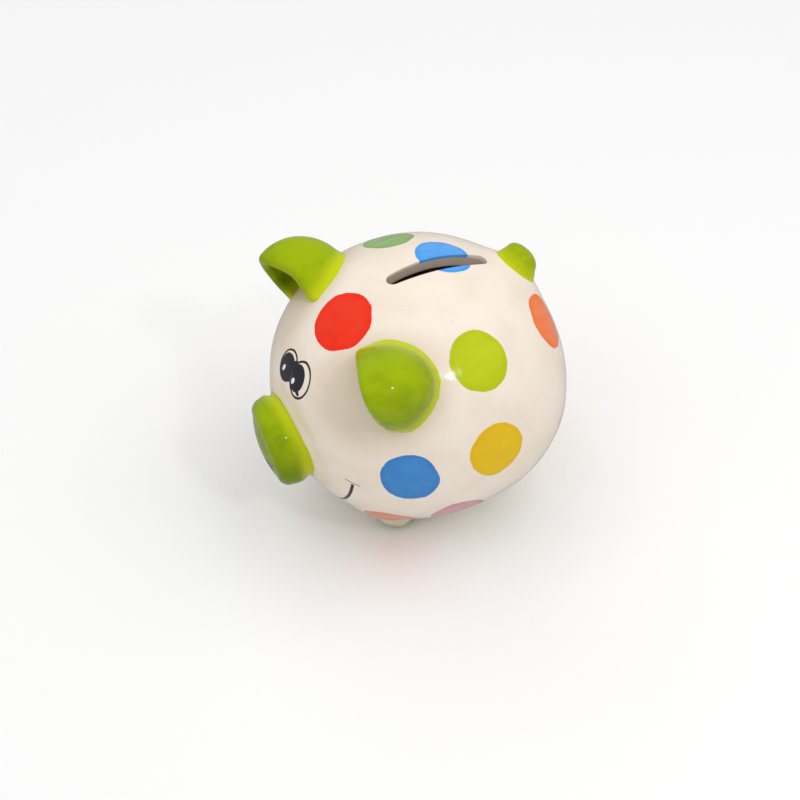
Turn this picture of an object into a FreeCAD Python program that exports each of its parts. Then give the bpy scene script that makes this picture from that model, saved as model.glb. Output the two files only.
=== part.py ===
import FreeCAD, Part
import math
import os

# Hand-painted ceramic piggy bank: a hollow ball of a body with a coin slot in its back and a
# soft stopper in its belly, and a snout, two ears, a tail and four feet stuck on before firing.
# Millimetres. +Z is up, the face looks towards -Y and the pig's left side is +X. The feet stand
# on z = 0 and the origin is below the middle of the whole pig.

# ---- driving dimensions ------------------------------------------------------------------

BODY_RADIUS = 47.2            # half of the body's width and length
BODY_HALF_HEIGHT = 43.4       # the body is a little flatter than a ball
BODY_CENTRE_Y = 3.4           # puts the middle of snout and rump over the origin
BODY_CENTRE_Z = 45.0          # height of the body's centre over the table
WALL = 4.5                    # thickness of the cast shell

BELLY_Z = 4.0                 # height of the flat belly round the stopper
BELLY_FLOOR = 5.0             # thickness of the shell at that flat

SLOT_LENGTH = 35.2
SLOT_WIDTH = 5.6
SLOT_LEAN = 9.2               # degrees that the slot's middle lies behind the top
SLOT_LIP = 0.5                # rounding of the slot's outer edge

HOLE_RADIUS = 13.1            # wide enough for a 26 mm coin to drop out

SNOUT_RADIUS = 14.0
SNOUT_REACH = 52.6            # from the body's centre to the snout's front rim
SNOUT_DOME = 1.6              # how far the front bulges past its rim
SNOUT_ROUND = 3.6             # rounding between side and front
SNOUT_FLARE = 1.2             # widening where the snout meets the head
SNOUT_DIP = 5.7               # degrees that the snout points down
SNOUT_DROP = 2.0              # how far its axis passes below the body's centre
SNOUT_FLARE_REACH = 3.0       # how far inside the body's radius the flare ends

EAR_TURN = 54.2               # degrees from straight ahead to the ear's middle
EAR_RISE = 40.2               # degrees up from the body's centre to the ear's middle
EAR_HALF_WIDTH = 12.9
EAR_DEPTH = 18.6              # from the widest place to the back of the ear
EAR_HEIGHT = 16.0             # how far the tip stands out
EAR_FORWARD = 8.0             # the widest place lies this far ahead of the ear's middle
EAR_SUNK = 1.0                # the widest place lies this far below the skin
EAR_FRONT = 9.6               # the open front crosses the skin this far ahead of the middle
EAR_FRONT_LEAN = 2.5          # degrees that the open front leans back
EAR_WALL = 4.2
EAR_RIM = 1.7                 # rounding of the rim

TAIL_RISE = 42.0              # degrees up from the body's centre, at the rear
TAIL_RADIUS = 7.0
TAIL_TIP_RADIUS = 3.6
TAIL_HEIGHT = 7.6

FOOT_X = 14.0
FOOT_Y = 16.2
FOOT_RADIUS = 5.6
FOOT_TOP_RADIUS = 7.6         # where the foot runs into the belly
FOOT_ROUND = 2.4
FOOT_TOP_Z = 14.0

STOPPER_CLEARANCE = 0.05      # between the stopper's ribs and the hole
STOPPER_FLANGE_RADIUS = 14.8
STOPPER_FLANGE = 1.8
STOPPER_RIB = 1.5             # height of each of the two ribs
STOPPER_NECK_RADIUS = 12.4
STOPPER_LIP = 2.4             # how far the stopper reaches past the belly floor
STOPPER_CUP_RADIUS = 9.0
STOPPER_CUP_DEPTH = 6.6
STOPPER_BAR = 2.4             # width of the grip bar across the cup
STOPPER_BAR_INSET = 0.4       # the bar stops this far short of the flange's face
STOPPER_LEAD = 1.2            # taper of the inner end, which leads it into the hole
STOPPER_RIB_SLOPE = 0.8       # taper from a rib down to the neck
STOPPER_BITE = 0.3            # overlap that joins the bar to the cup's wall and floor

ROOT = 12.0                   # how deep the stuck-on parts run into the body before trimming
CUT_OVER = 2.0                # how far a cutting tool runs past what it cuts
SPECK = 0.01                  # edges shorter than this are ignored

X_AXIS = FreeCAD.Vector(1, 0, 0)
Z_AXIS = FreeCAD.Vector(0, 0, 1)
BODY_CENTRE = FreeCAD.Vector(0, BODY_CENTRE_Y, BODY_CENTRE_Z)


# ---- helpers -----------------------------------------------------------------------------

def local_frame(origin, forward, up):
    """A placement whose Z is up and whose Y is as near to forward as up allows."""
    side = forward.cross(up).normalize()
    ahead = up.cross(side).normalize()
    matrix = FreeCAD.Matrix(
        side.x, ahead.x, up.x, origin.x,
        side.y, ahead.y, up.y, origin.y,
        side.z, ahead.z, up.z, origin.z,
        0, 0, 0, 1)
    return FreeCAD.Placement(matrix)


def revolve_profile(edges):
    """Turn a closed outline in the XZ plane once round the Z axis."""
    face = Part.Face(Part.Wire(edges))
    return face.revolve(FreeCAD.Vector(0, 0, 0), Z_AXIS, 360)


def line(start, end):
    """A straight edge in the XZ plane between two (radius, height) points."""
    first = FreeCAD.Vector(start[0], 0, start[1])
    second = FreeCAD.Vector(end[0], 0, end[1])
    return Part.makeLine(first, second)


def arc(start, middle, end):
    """A round edge in the XZ plane through three (radius, height) points."""
    points = [FreeCAD.Vector(radius, 0, height) for radius, height in (start, middle, end)]
    return Part.Arc(*points).toShape()


def ellipse_arc(radius, half_height, low):
    """The outer quarter of an upright ellipse, from its top down to the height low."""
    ellipse = Part.Ellipse(FreeCAD.Vector(0, 0, 0), radius, half_height)
    ellipse.rotate(FreeCAD.Placement(FreeCAD.Vector(), X_AXIS, 90))
    first = math.asin(low / half_height)
    return Part.ArcOfEllipse(ellipse, first, math.pi / 2).toShape()


def egg(radius, half_height, low):
    """A solid ellipsoid about Z, centred on zero and cut off flat at the height low."""
    low_radius = radius * math.sqrt(1 - (low / half_height) ** 2)
    edges = [
        ellipse_arc(radius, half_height, low),
        line((low_radius, low), (0, low)),
        line((0, low), (0, half_height)),
    ]
    return revolve_profile(edges)


def ellipsoid(half_x, half_y, half_z):
    """A solid ellipsoid centred on zero, with its poles on the Y axis."""
    stretch = FreeCAD.Matrix()
    stretch.scale(half_x, half_y, half_z)
    ball = Part.makeSphere(1.0, FreeCAD.Vector(), FreeCAD.Vector(0, 1, 0))
    return ball.transformGeometry(stretch)


def body_direction(turn, rise):
    """Unit vector from the body's centre, turned from straight ahead and raised, in degrees."""
    turn = math.radians(turn)
    rise = math.radians(rise)
    return FreeCAD.Vector(
        math.sin(turn) * math.cos(rise),
        -math.cos(turn) * math.cos(rise),
        math.sin(rise))


def skin_point(direction):
    """Where a ray from the body's centre leaves the body."""
    flat = math.hypot(direction.x, direction.y)
    reach = 1 / math.hypot(flat / BODY_RADIUS, direction.z / BODY_HALF_HEIGHT)
    return BODY_CENTRE + direction * reach


# ---- the cast body -----------------------------------------------------------------------

def body_block():
    """The body's outside as a solid block. Everything stuck on is trimmed with it."""
    block = egg(BODY_RADIUS, BODY_HALF_HEIGHT, BELLY_Z - BODY_CENTRE_Z)
    block.translate(BODY_CENTRE)
    return block


def slot_cutter():
    """A flat bar with round ends that cuts the coin slot square to the skin."""
    half_straight = (SLOT_LENGTH - SLOT_WIDTH) / 2
    half_width = SLOT_WIDTH / 2
    corners = [
        FreeCAD.Vector(half_width, -half_straight, 0),
        FreeCAD.Vector(half_width, half_straight, 0),
        FreeCAD.Vector(-half_width, half_straight, 0),
        FreeCAD.Vector(-half_width, -half_straight, 0),
    ]
    rear = FreeCAD.Vector(0, half_straight + half_width, 0)
    front = FreeCAD.Vector(0, -half_straight - half_width, 0)
    outline = Part.Wire([
        Part.makeLine(corners[0], corners[1]),
        Part.Arc(corners[1], rear, corners[2]).toShape(),
        Part.makeLine(corners[2], corners[3]),
        Part.Arc(corners[3], front, corners[0]).toShape(),
    ])
    bar = Part.Face(outline).extrude(Z_AXIS * (BODY_HALF_HEIGHT + CUT_OVER))
    bar.rotate(FreeCAD.Vector(), X_AXIS, -SLOT_LEAN)
    bar.translate(BODY_CENTRE)
    return bar


def edges_where(shape, test):
    """The edges whose every sampled point passes the test."""
    found = []
    for edge in shape.Edges:
        if edge.Length < SPECK:
            continue
        if all(test(point) for point in edge.discretize(7)):
            found.append(edge)
    return found


def skin_gap(point):
    """How far a point is from the body's outer ellipsoid, as a share of the radius."""
    offset = point - BODY_CENTRE
    flat = math.hypot(offset.x, offset.y) / BODY_RADIUS
    return math.hypot(flat, offset.z / BODY_HALF_HEIGHT) - 1


def make_body_shell(block):
    """The hollow body, with the coin slot in its back and the stopper's hole in its belly."""
    low = BELLY_Z + BELLY_FLOOR - BODY_CENTRE_Z
    hollow = egg(BODY_RADIUS - WALL, BODY_HALF_HEIGHT - WALL, low)
    hollow.translate(BODY_CENTRE)
    hole_top = BELLY_Z + BELLY_FLOOR + CUT_OVER
    hole = Part.makeCylinder(HOLE_RADIUS, hole_top, FreeCAD.Vector(0, BODY_CENTRE_Y, 0))
    shell = block.cut(slot_cutter())
    slot_rim = edges_where(
        shell, lambda p: abs(skin_gap(p)) < 1e-3 and abs(p.x) < SLOT_WIDTH and p.z > BODY_CENTRE_Z)
    shell = shell.makeFillet(SLOT_LIP, slot_rim)
    return shell.cut(hollow).cut(hole)


# ---- parts stuck on before firing --------------------------------------------------------

def make_snout(block):
    """A short round snout with a softly domed front and a flared root."""
    front = SNOUT_REACH
    root = BODY_RADIUS - ROOT
    flare_end = BODY_RADIUS - SNOUT_FLARE_REACH
    waist = (BODY_RADIUS + front - SNOUT_ROUND) / 2
    side = front - SNOUT_ROUND
    flare = SNOUT_RADIUS + SNOUT_FLARE
    rim = SNOUT_RADIUS - SNOUT_ROUND
    slant = SNOUT_ROUND * math.sqrt(0.5)
    dome_radius = (rim ** 2 + SNOUT_DOME ** 2) / (2 * SNOUT_DOME)
    dome_middle = front + SNOUT_DOME - dome_radius + math.sqrt(dome_radius ** 2 - rim ** 2 / 4)
    edges = [
        line((0, root), (flare, root)),
        line((flare, root), (flare, flare_end)),
        line((flare, flare_end), (SNOUT_RADIUS, waist)),
        line((SNOUT_RADIUS, waist), (SNOUT_RADIUS, side)),
        arc((SNOUT_RADIUS, side), (rim + slant, side + slant), (rim, front)),
        arc((rim, front), (rim / 2, dome_middle), (0, front + SNOUT_DOME)),
        line((0, front + SNOUT_DOME), (0, root)),
    ]
    snout = revolve_profile(edges)
    axis = body_direction(0, -SNOUT_DIP)
    snout.Placement = local_frame(BODY_CENTRE - Z_AXIS * SNOUT_DROP, Z_AXIS, axis)
    return snout.cut(block)


def ear_dome(inset):
    """The ear's dome in its own frame, X across it, Y ahead and Z out, shrunk by inset."""
    dome = ellipsoid(EAR_HALF_WIDTH - inset, EAR_DEPTH - inset, EAR_HEIGHT + EAR_SUNK - inset)
    dome.translate(FreeCAD.Vector(0, EAR_FORWARD, -EAR_SUNK))
    return dome


def make_left_ear(block):
    """A hood-shaped ear, open towards the front, with a thick rounded rim."""
    size = 4 * EAR_HEIGHT
    keep = Part.makeBox(size, size, size, FreeCAD.Vector(-size / 2, -size, -size / 2))
    keep.rotate(FreeCAD.Vector(), X_AXIS, EAR_FRONT_LEAN)
    keep.translate(FreeCAD.Vector(0, EAR_FRONT, 0))
    hood = ear_dome(0).common(keep).cut(ear_dome(EAR_WALL))
    front_face = max(hood.Faces, key=lambda face: face.CenterOfMass.y)
    hood = hood.makeFillet(EAR_RIM, front_face.Edges)
    direction = body_direction(EAR_TURN, EAR_RISE)
    ahead = body_direction(0, 0)
    hood.Placement = local_frame(skin_point(direction), ahead, direction)
    return hood.cut(block)


def make_tail(block):
    """A short blunt cone of a tail on the rump."""
    tip = TAIL_TIP_RADIUS
    tip_height = TAIL_HEIGHT - tip
    spread = math.acos(tip / math.hypot(TAIL_RADIUS, tip_height))
    touch_angle = spread - math.atan2(tip_height, TAIL_RADIUS)
    crown_angle = (touch_angle + math.pi / 2) / 2
    touch = (tip * math.cos(touch_angle), tip_height + tip * math.sin(touch_angle))
    crown = (tip * math.cos(crown_angle), tip_height + tip * math.sin(crown_angle))
    root = -ROOT / 2
    edges = [
        line((0, root), (TAIL_RADIUS, root)),
        line((TAIL_RADIUS, root), (TAIL_RADIUS, 0)),
        line((TAIL_RADIUS, 0), touch),
        arc(touch, crown, (0, TAIL_HEIGHT)),
        line((0, TAIL_HEIGHT), (0, root)),
    ]
    tail = revolve_profile(edges)
    direction = body_direction(180, TAIL_RISE)
    tail.Placement = local_frame(skin_point(direction), Z_AXIS, direction)
    return tail.cut(block)


def make_foot(block, x, y):
    """A round stub of a foot with a flat sole."""
    round_in = FOOT_ROUND * (1 - math.sqrt(0.5))
    edges = [
        line((0, 0), (FOOT_RADIUS - FOOT_ROUND, 0)),
        arc((FOOT_RADIUS - FOOT_ROUND, 0), (FOOT_RADIUS - round_in, round_in), (FOOT_RADIUS, FOOT_ROUND)),
        line((FOOT_RADIUS, FOOT_ROUND), (FOOT_TOP_RADIUS, FOOT_TOP_Z)),
        line((FOOT_TOP_RADIUS, FOOT_TOP_Z), (0, FOOT_TOP_Z)),
        line((0, FOOT_TOP_Z), (0, 0)),
    ]
    foot = revolve_profile(edges)
    foot.translate(FreeCAD.Vector(x, BODY_CENTRE_Y + y, 0))
    return foot.cut(block)


# ---- the stopper -------------------------------------------------------------------------

def make_stopper():
    """A soft plug: a flange under the belly, two ribs in the hole and a cup with a grip bar."""
    rib = HOLE_RADIUS - STOPPER_CLEARANCE
    low = -STOPPER_FLANGE
    top = BELLY_FLOOR + STOPPER_LIP
    edge = STOPPER_FLANGE / 2
    profile = [
        (STOPPER_CUP_RADIUS, low),
        (STOPPER_FLANGE_RADIUS - edge, low),
        (STOPPER_FLANGE_RADIUS, low + edge),
        (STOPPER_FLANGE_RADIUS - edge / 2, 0),
        (rib, 0),
        (rib, STOPPER_RIB),
        (STOPPER_NECK_RADIUS, STOPPER_RIB + STOPPER_RIB_SLOPE),
        (STOPPER_NECK_RADIUS, top - 3 * STOPPER_RIB),
        (rib, top - 2 * STOPPER_RIB),
        (rib, top - STOPPER_RIB),
        (rib - STOPPER_LEAD, top),
        (0, top),
        (0, low + STOPPER_CUP_DEPTH),
        (STOPPER_CUP_RADIUS, low + STOPPER_CUP_DEPTH),
    ]
    edges = [line(start, end) for start, end in zip(profile, profile[1:] + profile[:1])]
    plug = revolve_profile(edges)
    reach = math.sqrt(STOPPER_CUP_RADIUS ** 2 - (STOPPER_BAR / 2) ** 2) + STOPPER_BITE
    bar_height = STOPPER_CUP_DEPTH - STOPPER_BAR_INSET + STOPPER_BITE
    corner = FreeCAD.Vector(-reach, -STOPPER_BAR / 2, low + STOPPER_BAR_INSET)
    bar = Part.makeBox(2 * reach, STOPPER_BAR, bar_height, corner)
    plug = plug.fuse(bar).removeSplitter()
    plug.translate(FreeCAD.Vector(0, BODY_CENTRE_Y, BELLY_Z))
    return plug


# ---- everything --------------------------------------------------------------------------

def make_parts():
    """Every node's name with its solid."""
    block = body_block()
    left_ear = make_left_ear(block)
    parts = {
        "body_shell": make_body_shell(block),
        "snout": make_snout(block),
        "ear_left": left_ear,
        "ear_right": left_ear.mirror(FreeCAD.Vector(), X_AXIS),
        "tail": make_tail(block),
        "stopper": make_stopper(),
    }
    for row, y in (("front", -FOOT_Y), ("rear", FOOT_Y)):
        for side, x in (("left", FOOT_X), ("right", -FOOT_X)):
            parts[f"foot_{row}_{side}"] = make_foot(block, x, y)
    return parts


os.makedirs("parts", exist_ok=True)
for name, shape in make_parts().items():
    solid = shape if shape.ShapeType == "Solid" else shape.Solids[0]
    solid.exportStep(f"parts/{name}.step")
    box = solid.BoundBox
    print(f"{name:18s} solids {len(shape.Solids)} valid {solid.isValid()} volume {solid.Volume:10.1f}"
          f"  x {box.XMin:7.2f} {box.XMax:7.2f}  y {box.YMin:7.2f} {box.YMax:7.2f}"
          f"  z {box.ZMin:7.2f} {box.ZMax:7.2f}")
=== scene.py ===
import math

import bpy
import numpy as np
from mathutils import Matrix, Vector


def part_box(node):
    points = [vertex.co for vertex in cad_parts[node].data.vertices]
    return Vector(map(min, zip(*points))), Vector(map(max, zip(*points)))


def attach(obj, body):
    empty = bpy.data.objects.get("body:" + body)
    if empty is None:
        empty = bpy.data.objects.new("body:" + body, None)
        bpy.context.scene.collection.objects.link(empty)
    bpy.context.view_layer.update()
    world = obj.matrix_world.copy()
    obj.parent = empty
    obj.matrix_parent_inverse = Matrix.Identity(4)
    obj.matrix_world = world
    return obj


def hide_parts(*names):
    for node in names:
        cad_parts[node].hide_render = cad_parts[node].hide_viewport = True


# A hand-painted ceramic piggy bank. The body, snout, ears, tail and feet are built here as smooth
# glazed clay round the CAD body's own size and place, and painted by procedural materials. The
# stopper keeps its CAD shape. Lengths are millimetres from the body's centre, and pieces become
# metres in the row frame only when their mesh is made.

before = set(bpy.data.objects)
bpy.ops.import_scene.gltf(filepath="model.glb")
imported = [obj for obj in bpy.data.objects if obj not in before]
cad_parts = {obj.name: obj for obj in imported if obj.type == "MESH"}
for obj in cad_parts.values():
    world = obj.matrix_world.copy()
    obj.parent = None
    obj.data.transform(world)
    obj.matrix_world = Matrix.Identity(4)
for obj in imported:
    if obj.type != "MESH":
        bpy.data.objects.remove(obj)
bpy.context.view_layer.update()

# ---- sizes taken from the frame ----------------------------------------------------------

MM = 1000.0
SHELL_LOW, SHELL_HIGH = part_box("body_shell")
RADIUS = (SHELL_HIGH.x - SHELL_LOW.x) / 2 * MM
HALF_HEIGHT = RADIUS * 0.9195
CENTRE = np.array([
    (SHELL_HIGH.x + SHELL_LOW.x) / 2 * MM,
    (SHELL_HIGH.y + SHELL_LOW.y) / 2 * MM,
    SHELL_HIGH.z * MM - HALF_HEIGHT])
BELLY = CENTRE[2] - SHELL_LOW.z * MM      # from the centre down to the flat belly

WALL = 4.5
FLOOR_WALL = 5.0
SOFT_CORNER = 0.35                        # how softly the belly's flat runs into the round
SETTLE = 9.0                              # how far from the slot the rings keep to its outline

SLOT_HALF_STRAIGHT = 14.8
SLOT_HALF_WIDTH = 2.3
SLOT_BELLY = 0.75                         # how much wider the slot is cut at its middle
SLOT_LEAN = math.radians(9.2)
SLOT_LIP = 0.35
INNER_LIP = 0.5
HOLE_RADIUS = 13.1
HOLE_LIP = 0.8

COLUMNS = 224                             # round the slot, the body and the stopper's hole
OUTER_RINGS = 150
INNER_RINGS = 54
LIP_STEPS = 5
WALL_STEPS = 6
STUB_COLUMNS = 112
SUNK = 2.2                                # how deep the stuck-on parts end inside the shell

SNOUT_DIP = 5.7
SNOUT_DROP = 2.0
SNOUT_RADIUS = 13.9
SNOUT_BARREL = 0.4                        # how much fatter the snout is near its front
SNOUT_FRONT = 53.7
SNOUT_ROOT = 1.2
SNOUT_ROUND = 3.8
SNOUT_DOME = 1.8
SNOUT_SLANT = (0.12, 0.08)                # the face looks a little down and to the pig's right

EAR_TURN = 54.2
EAR_RISE = 40.2
TAIL_RISE = 42.0
TAIL_RADIUS = 6.6
TAIL_TIP = 5.5
TAIL_REACH = 4.9
TAIL_ROUND = 3.4
TAIL_LEAN = 1.3                           # how far its tip leans up

FOOT_ACROSS = 15.0                        # a foot's middle from the body's, across and along
FOOT_ALONG = 15.6
FOOT_ROOT_RADIUS = 7.0
FOOT_ROOT = 2.4
FOOT_RADIUS = 6.0
FOOT_SOLE_RADIUS = 3.4
FOOT_ROUND = 2.4


# ---- the body's skin ---------------------------------------------------------------------

def direction(turn, rise):
    """Unit vector from the body's centre, turned from straight ahead to the left and raised."""
    turn, rise = math.radians(turn), math.radians(rise)
    flat = math.cos(rise)
    return np.array([math.sin(turn) * flat, -math.cos(turn) * flat, math.sin(rise)])


# where the clay bulges or sinks a little on both sides: turn, rise, height, spread
PAIRED_SWELLS = (
    (EAR_TURN, EAR_RISE, 0.4, 14.0),
    (41, -57, 2.8, 9.5),
    (37, -46, 1.5, 11.0),
    (139, -57, 2.8, 9.5),
    (130, -21, 1.1, 22.0),
    (96, -42, -1.1, 15.0),
    (160, 9, -0.5, 15.0),
    (25, -3, -0.7, 12.0),
)
# all swells, with the one that meets the tail: direction, height, spread
SWELLS = [(direction(180, TAIL_RISE), 2.8, 10.5)] + [
    (direction(side * turn, rise), height, spread)
    for turn, rise, height, spread in PAIRED_SWELLS
    for side in (1, -1)]


def unit(vectors):
    """The vectors, each of length one."""
    return vectors / np.linalg.norm(vectors, axis=-1, keepdims=True)


def wobble(d):
    """Slow unevenness of hand-finished clay, in millimetres."""
    x, y, z = d[..., 0], d[..., 1], d[..., 2]
    return (0.20 * np.sin(3.1 * x + 1.3) * np.cos(2.7 * z + 0.4)
            + 0.14 * np.sin(4.3 * y + 2.2 * x + 0.7)
            + 0.07 * np.sin(7.9 * z - 5.1 * x + 2.0) * np.cos(6.3 * y))


def skin(d, inset=0.0, low=BELLY):
    """Distance from the centre to the skin, or to the inside when there is an inset."""
    flat = np.hypot(d[..., 0], d[..., 1]) / (RADIUS - inset)
    tall = d[..., 2] / (HALF_HEIGHT - inset)
    reach = 1 / np.hypot(flat, tall)
    if inset == 0:
        reach = reach + wobble(d)
        for middle, height, spread in SWELLS:
            away = RADIUS * np.linalg.norm(d - middle, axis=-1)
            reach = reach + height * np.exp(-(away / spread) ** 2)
    plane = low / np.maximum(-d[..., 2], 1e-3)
    return -SOFT_CORNER * np.logaddexp(-reach / SOFT_CORNER, -plane / SOFT_CORNER)


def height_over_skin(points):
    """How far points stand out from the skin, along the ray from the centre."""
    length = np.linalg.norm(points, axis=-1)
    return length - skin(points / length[..., None])


def drop_to_skin(points, axis, inset=0.0, low=BELLY):
    """Slide points along the axis until they lie on the skin."""
    points = points + axis * RADIUS
    for _ in range(40):
        length = np.linalg.norm(points, axis=-1, keepdims=True)
        gap = length - skin(points / length, inset, low)[..., None]
        points = points - axis * gap / np.maximum((points / length) @ axis, 0.35)[..., None]
    return points


# ---- meshes ------------------------------------------------------------------------------

def grid_faces(rows, columns, wrap_rows=False, wrap_columns=True, start=0):
    """Quads between neighbouring rows of points."""
    faces = []
    for r in range(rows if wrap_rows else rows - 1):
        below = (r + 1) % rows
        for c in range(columns if wrap_columns else columns - 1):
            right = (c + 1) % columns
            faces.append((
                start + r * columns + c, start + r * columns + right,
                start + below * columns + right, start + below * columns + c))
    return faces


def corner_loops(faces):
    """The faces as an array of four corners, a triangle repeating its last one."""
    return np.array([face if len(face) == 4 else (*face, face[2]) for face in faces])


def signed_volume(points, faces):
    """Six times the volume that closed faces hold, positive when they look outwards."""
    a, b, c, d = (points[corner] for corner in corner_loops(faces).T)
    first = np.einsum("ij,ij->", a, np.cross(b, c))
    return first + np.einsum("ij,ij->", a, np.cross(c, d))


def vertex_normals(points, faces):
    """Unit normals at the points, averaged over their faces."""
    loops = corner_loops(faces)
    a, b, c, d = (points[corner] for corner in loops.T)
    face_normals = np.cross(c - a, d - b)
    normals = np.zeros_like(points)
    for corner in loops.T:
        np.add.at(normals, corner, face_normals)
    return unit(normals + 1e-12)


def outward(points, faces):
    """The faces, turned over if they look inwards."""
    if signed_volume(points, faces) < 0:
        return [face[::-1] for face in faces]
    return faces


def make_piece(name, points, faces, glaze, node):
    """A smooth mesh piece that stands for a CAD node and rides its body."""
    mesh = bpy.data.meshes.new(name)
    mesh.from_pydata(((points + CENTRE) / MM).tolist(), [], faces)
    mesh.validate()
    mesh.shade_smooth()
    mesh.materials.append(glaze.material)
    piece = bpy.data.objects.new(name, mesh)
    bpy.context.scene.collection.objects.link(piece)
    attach(piece, "pig")
    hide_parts(node)
    return piece


# ---- the cast body -----------------------------------------------------------------------

ACROSS = np.array([1.0, 0.0, 0.0])
TURNS = np.linspace(0, 2 * math.pi, COLUMNS, endpoint=False)


def smooth_step(value, low, high):
    """Zero below low, one above high, and a soft ramp between."""
    share = np.clip((value - low) / (high - low), 0, 1)
    return share * share * (3 - 2 * share)


def slot_axes(lean):
    """The slot's across, along and outward axes, leaning back from the top."""
    along = np.array([0, math.cos(lean), -math.sin(lean)])
    out = np.array([0, math.sin(lean), math.cos(lean)])
    return ACROSS, along, out


def slot_outline(offset):
    """The slot's outline grown by offset, as (across, along) in its own plane."""
    radius = SLOT_HALF_WIDTH + offset
    along = (SLOT_HALF_STRAIGHT + radius) * np.cos(TURNS)
    past = np.maximum(np.abs(along) - SLOT_HALF_STRAIGHT, 0)
    across = np.sqrt(np.maximum(radius ** 2 - past ** 2, 0)) * np.sign(np.sin(TURNS))
    across[np.abs(np.sin(TURNS)) < 1e-9] = 0
    wider = 1 + SLOT_BELLY / radius * np.maximum(1 - (along / SLOT_HALF_STRAIGHT) ** 2, 0)
    return across * wider, along


def over_outline(offset, inset=0.0, low=BELLY):
    """The slot's grown outline, laid on the skin."""
    across, along = slot_outline(offset)
    x_axis, y_axis, out = slot_axes(SLOT_LEAN)
    flat = across[:, None] * x_axis + along[:, None] * y_axis
    return drop_to_skin(flat, out, inset, low)


def rings_to_hole(count, first_offset, end_radius, inset, low):
    """Rings on the skin that start as the slot's outline and end as the stopper's round hole."""
    top = HALF_HEIGHT - inset
    slot_end = SLOT_HALF_STRAIGHT + SLOT_HALF_WIDTH + first_offset
    long_half = math.tan(math.asin(slot_end / (top - 3)) / 2)
    short_half = math.tan(math.asin((SLOT_HALF_WIDTH + first_offset) / top) / 2)
    start = math.atanh(short_half / long_half)
    focus = long_half / math.cosh(start)
    end_angle = math.pi - math.atan(end_radius / low)
    end = math.acosh(math.tan(end_angle / 2) / focus)
    rings = []
    for share in np.linspace(0, 1, count):
        mu = start + (end - start) * share
        along = focus * math.cosh(mu) * np.cos(TURNS)
        across = focus * math.sinh(mu) * np.sin(TURNS)
        radius = np.hypot(along, across)
        polar = 2 * np.arctan(radius)
        turned = smooth_step(np.mean(polar), math.radians(55), math.radians(125))
        x_axis, y_axis, out = slot_axes(SLOT_LEAN * (1 - turned))
        ring = (np.cos(polar)[:, None] * out
                + (np.sin(polar) * across / radius)[:, None] * x_axis
                + (np.sin(polar) * along / radius)[:, None] * y_axis)
        offset = top * math.sin(2 * math.atan(focus * math.sinh(mu))) - SLOT_HALF_WIDTH
        near = smooth_step(offset, first_offset, first_offset + SETTLE)
        if near < 1:
            ring = unit((1 - near) * unit(over_outline(offset, inset, low)) + near * ring)
        rings.append(ring * skin(ring, inset, low)[:, None])
    return rings


def slot_wall():
    """Rows from the skin over the slot's lip, down its wall and round onto the inside."""
    _, _, out = slot_axes(SLOT_LEAN)
    rows = []
    for angle in np.linspace(0, math.pi / 2, LIP_STEPS + 1)[1:]:
        edge = over_outline(SLOT_LIP * (1 - math.sin(angle)))
        rows.append(edge - out * SLOT_LIP * (1 - math.cos(angle)))
    top = rows[-1]
    bottom = over_outline(0, WALL, BELLY - FLOOR_WALL) + out * INNER_LIP
    for share in np.linspace(0, 1, WALL_STEPS + 1)[1:]:
        rows.append(top + (bottom - top) * share)
    for angle in np.linspace(0, math.pi / 2, LIP_STEPS)[1:-1]:
        edge = over_outline(INNER_LIP * (1 - math.cos(angle)), WALL, BELLY - FLOOR_WALL)
        rows.append(edge + out * INNER_LIP * (1 - math.sin(angle)))
    return rows


def hole_wall(last_ring):
    """Rows from the belly over the hole's lip, up its wall and onto the floor inside."""
    turn = unit(last_ring[:, :2])

    def ring(radius, z):
        return np.column_stack([turn * radius, np.full(COLUMNS, z)])

    rows = []
    for angle in np.linspace(0, math.pi / 2, LIP_STEPS + 1)[1:]:
        rows.append(ring(HOLE_RADIUS + HOLE_LIP * (1 - math.sin(angle)),
                         -BELLY + HOLE_LIP * (1 - math.cos(angle))))
    top = -BELLY + FLOOR_WALL - INNER_LIP
    for share in np.linspace(0, 1, 4)[1:]:
        rows.append(ring(HOLE_RADIUS, rows[LIP_STEPS - 1][0, 2] * (1 - share) + top * share))
    for angle in np.linspace(0, math.pi / 2, LIP_STEPS)[1:-1]:
        rows.append(ring(HOLE_RADIUS + INNER_LIP * (1 - math.cos(angle)),
                         top + INNER_LIP * math.sin(angle)))
    return rows


def make_body(glaze):
    """The hollow body as one closed skin: outside, hole, inside and slot."""
    outside = rings_to_hole(OUTER_RINGS, SLOT_LIP, HOLE_RADIUS + HOLE_LIP, 0.0, BELLY)
    inside = rings_to_hole(
        INNER_RINGS, INNER_LIP, HOLE_RADIUS + INNER_LIP, WALL, BELLY - FLOOR_WALL)
    rows = outside + hole_wall(outside[-1]) + inside[::-1] + slot_wall()[::-1]
    points = np.concatenate(rows)
    faces = outward(points, grid_faces(len(rows), COLUMNS, wrap_rows=True))
    body = make_piece("painted_body", points, faces, glaze, "body_shell")
    return body


# ---- stuck-on parts ----------------------------------------------------------------------

def side_axes(axis):
    """Two unit vectors square to the axis and to each other."""
    first = unit(np.cross(axis, [0.0, 0.0, 1.0] if abs(axis[2]) < 0.9 else [0.0, 1.0, 0.0]))
    return first, np.cross(axis, first)


def flare(height, reach, width):
    """How far a wall spreads at its foot, easing out over the reach."""
    return width * np.clip(1 - height / reach, 0, 1) ** 2


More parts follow.
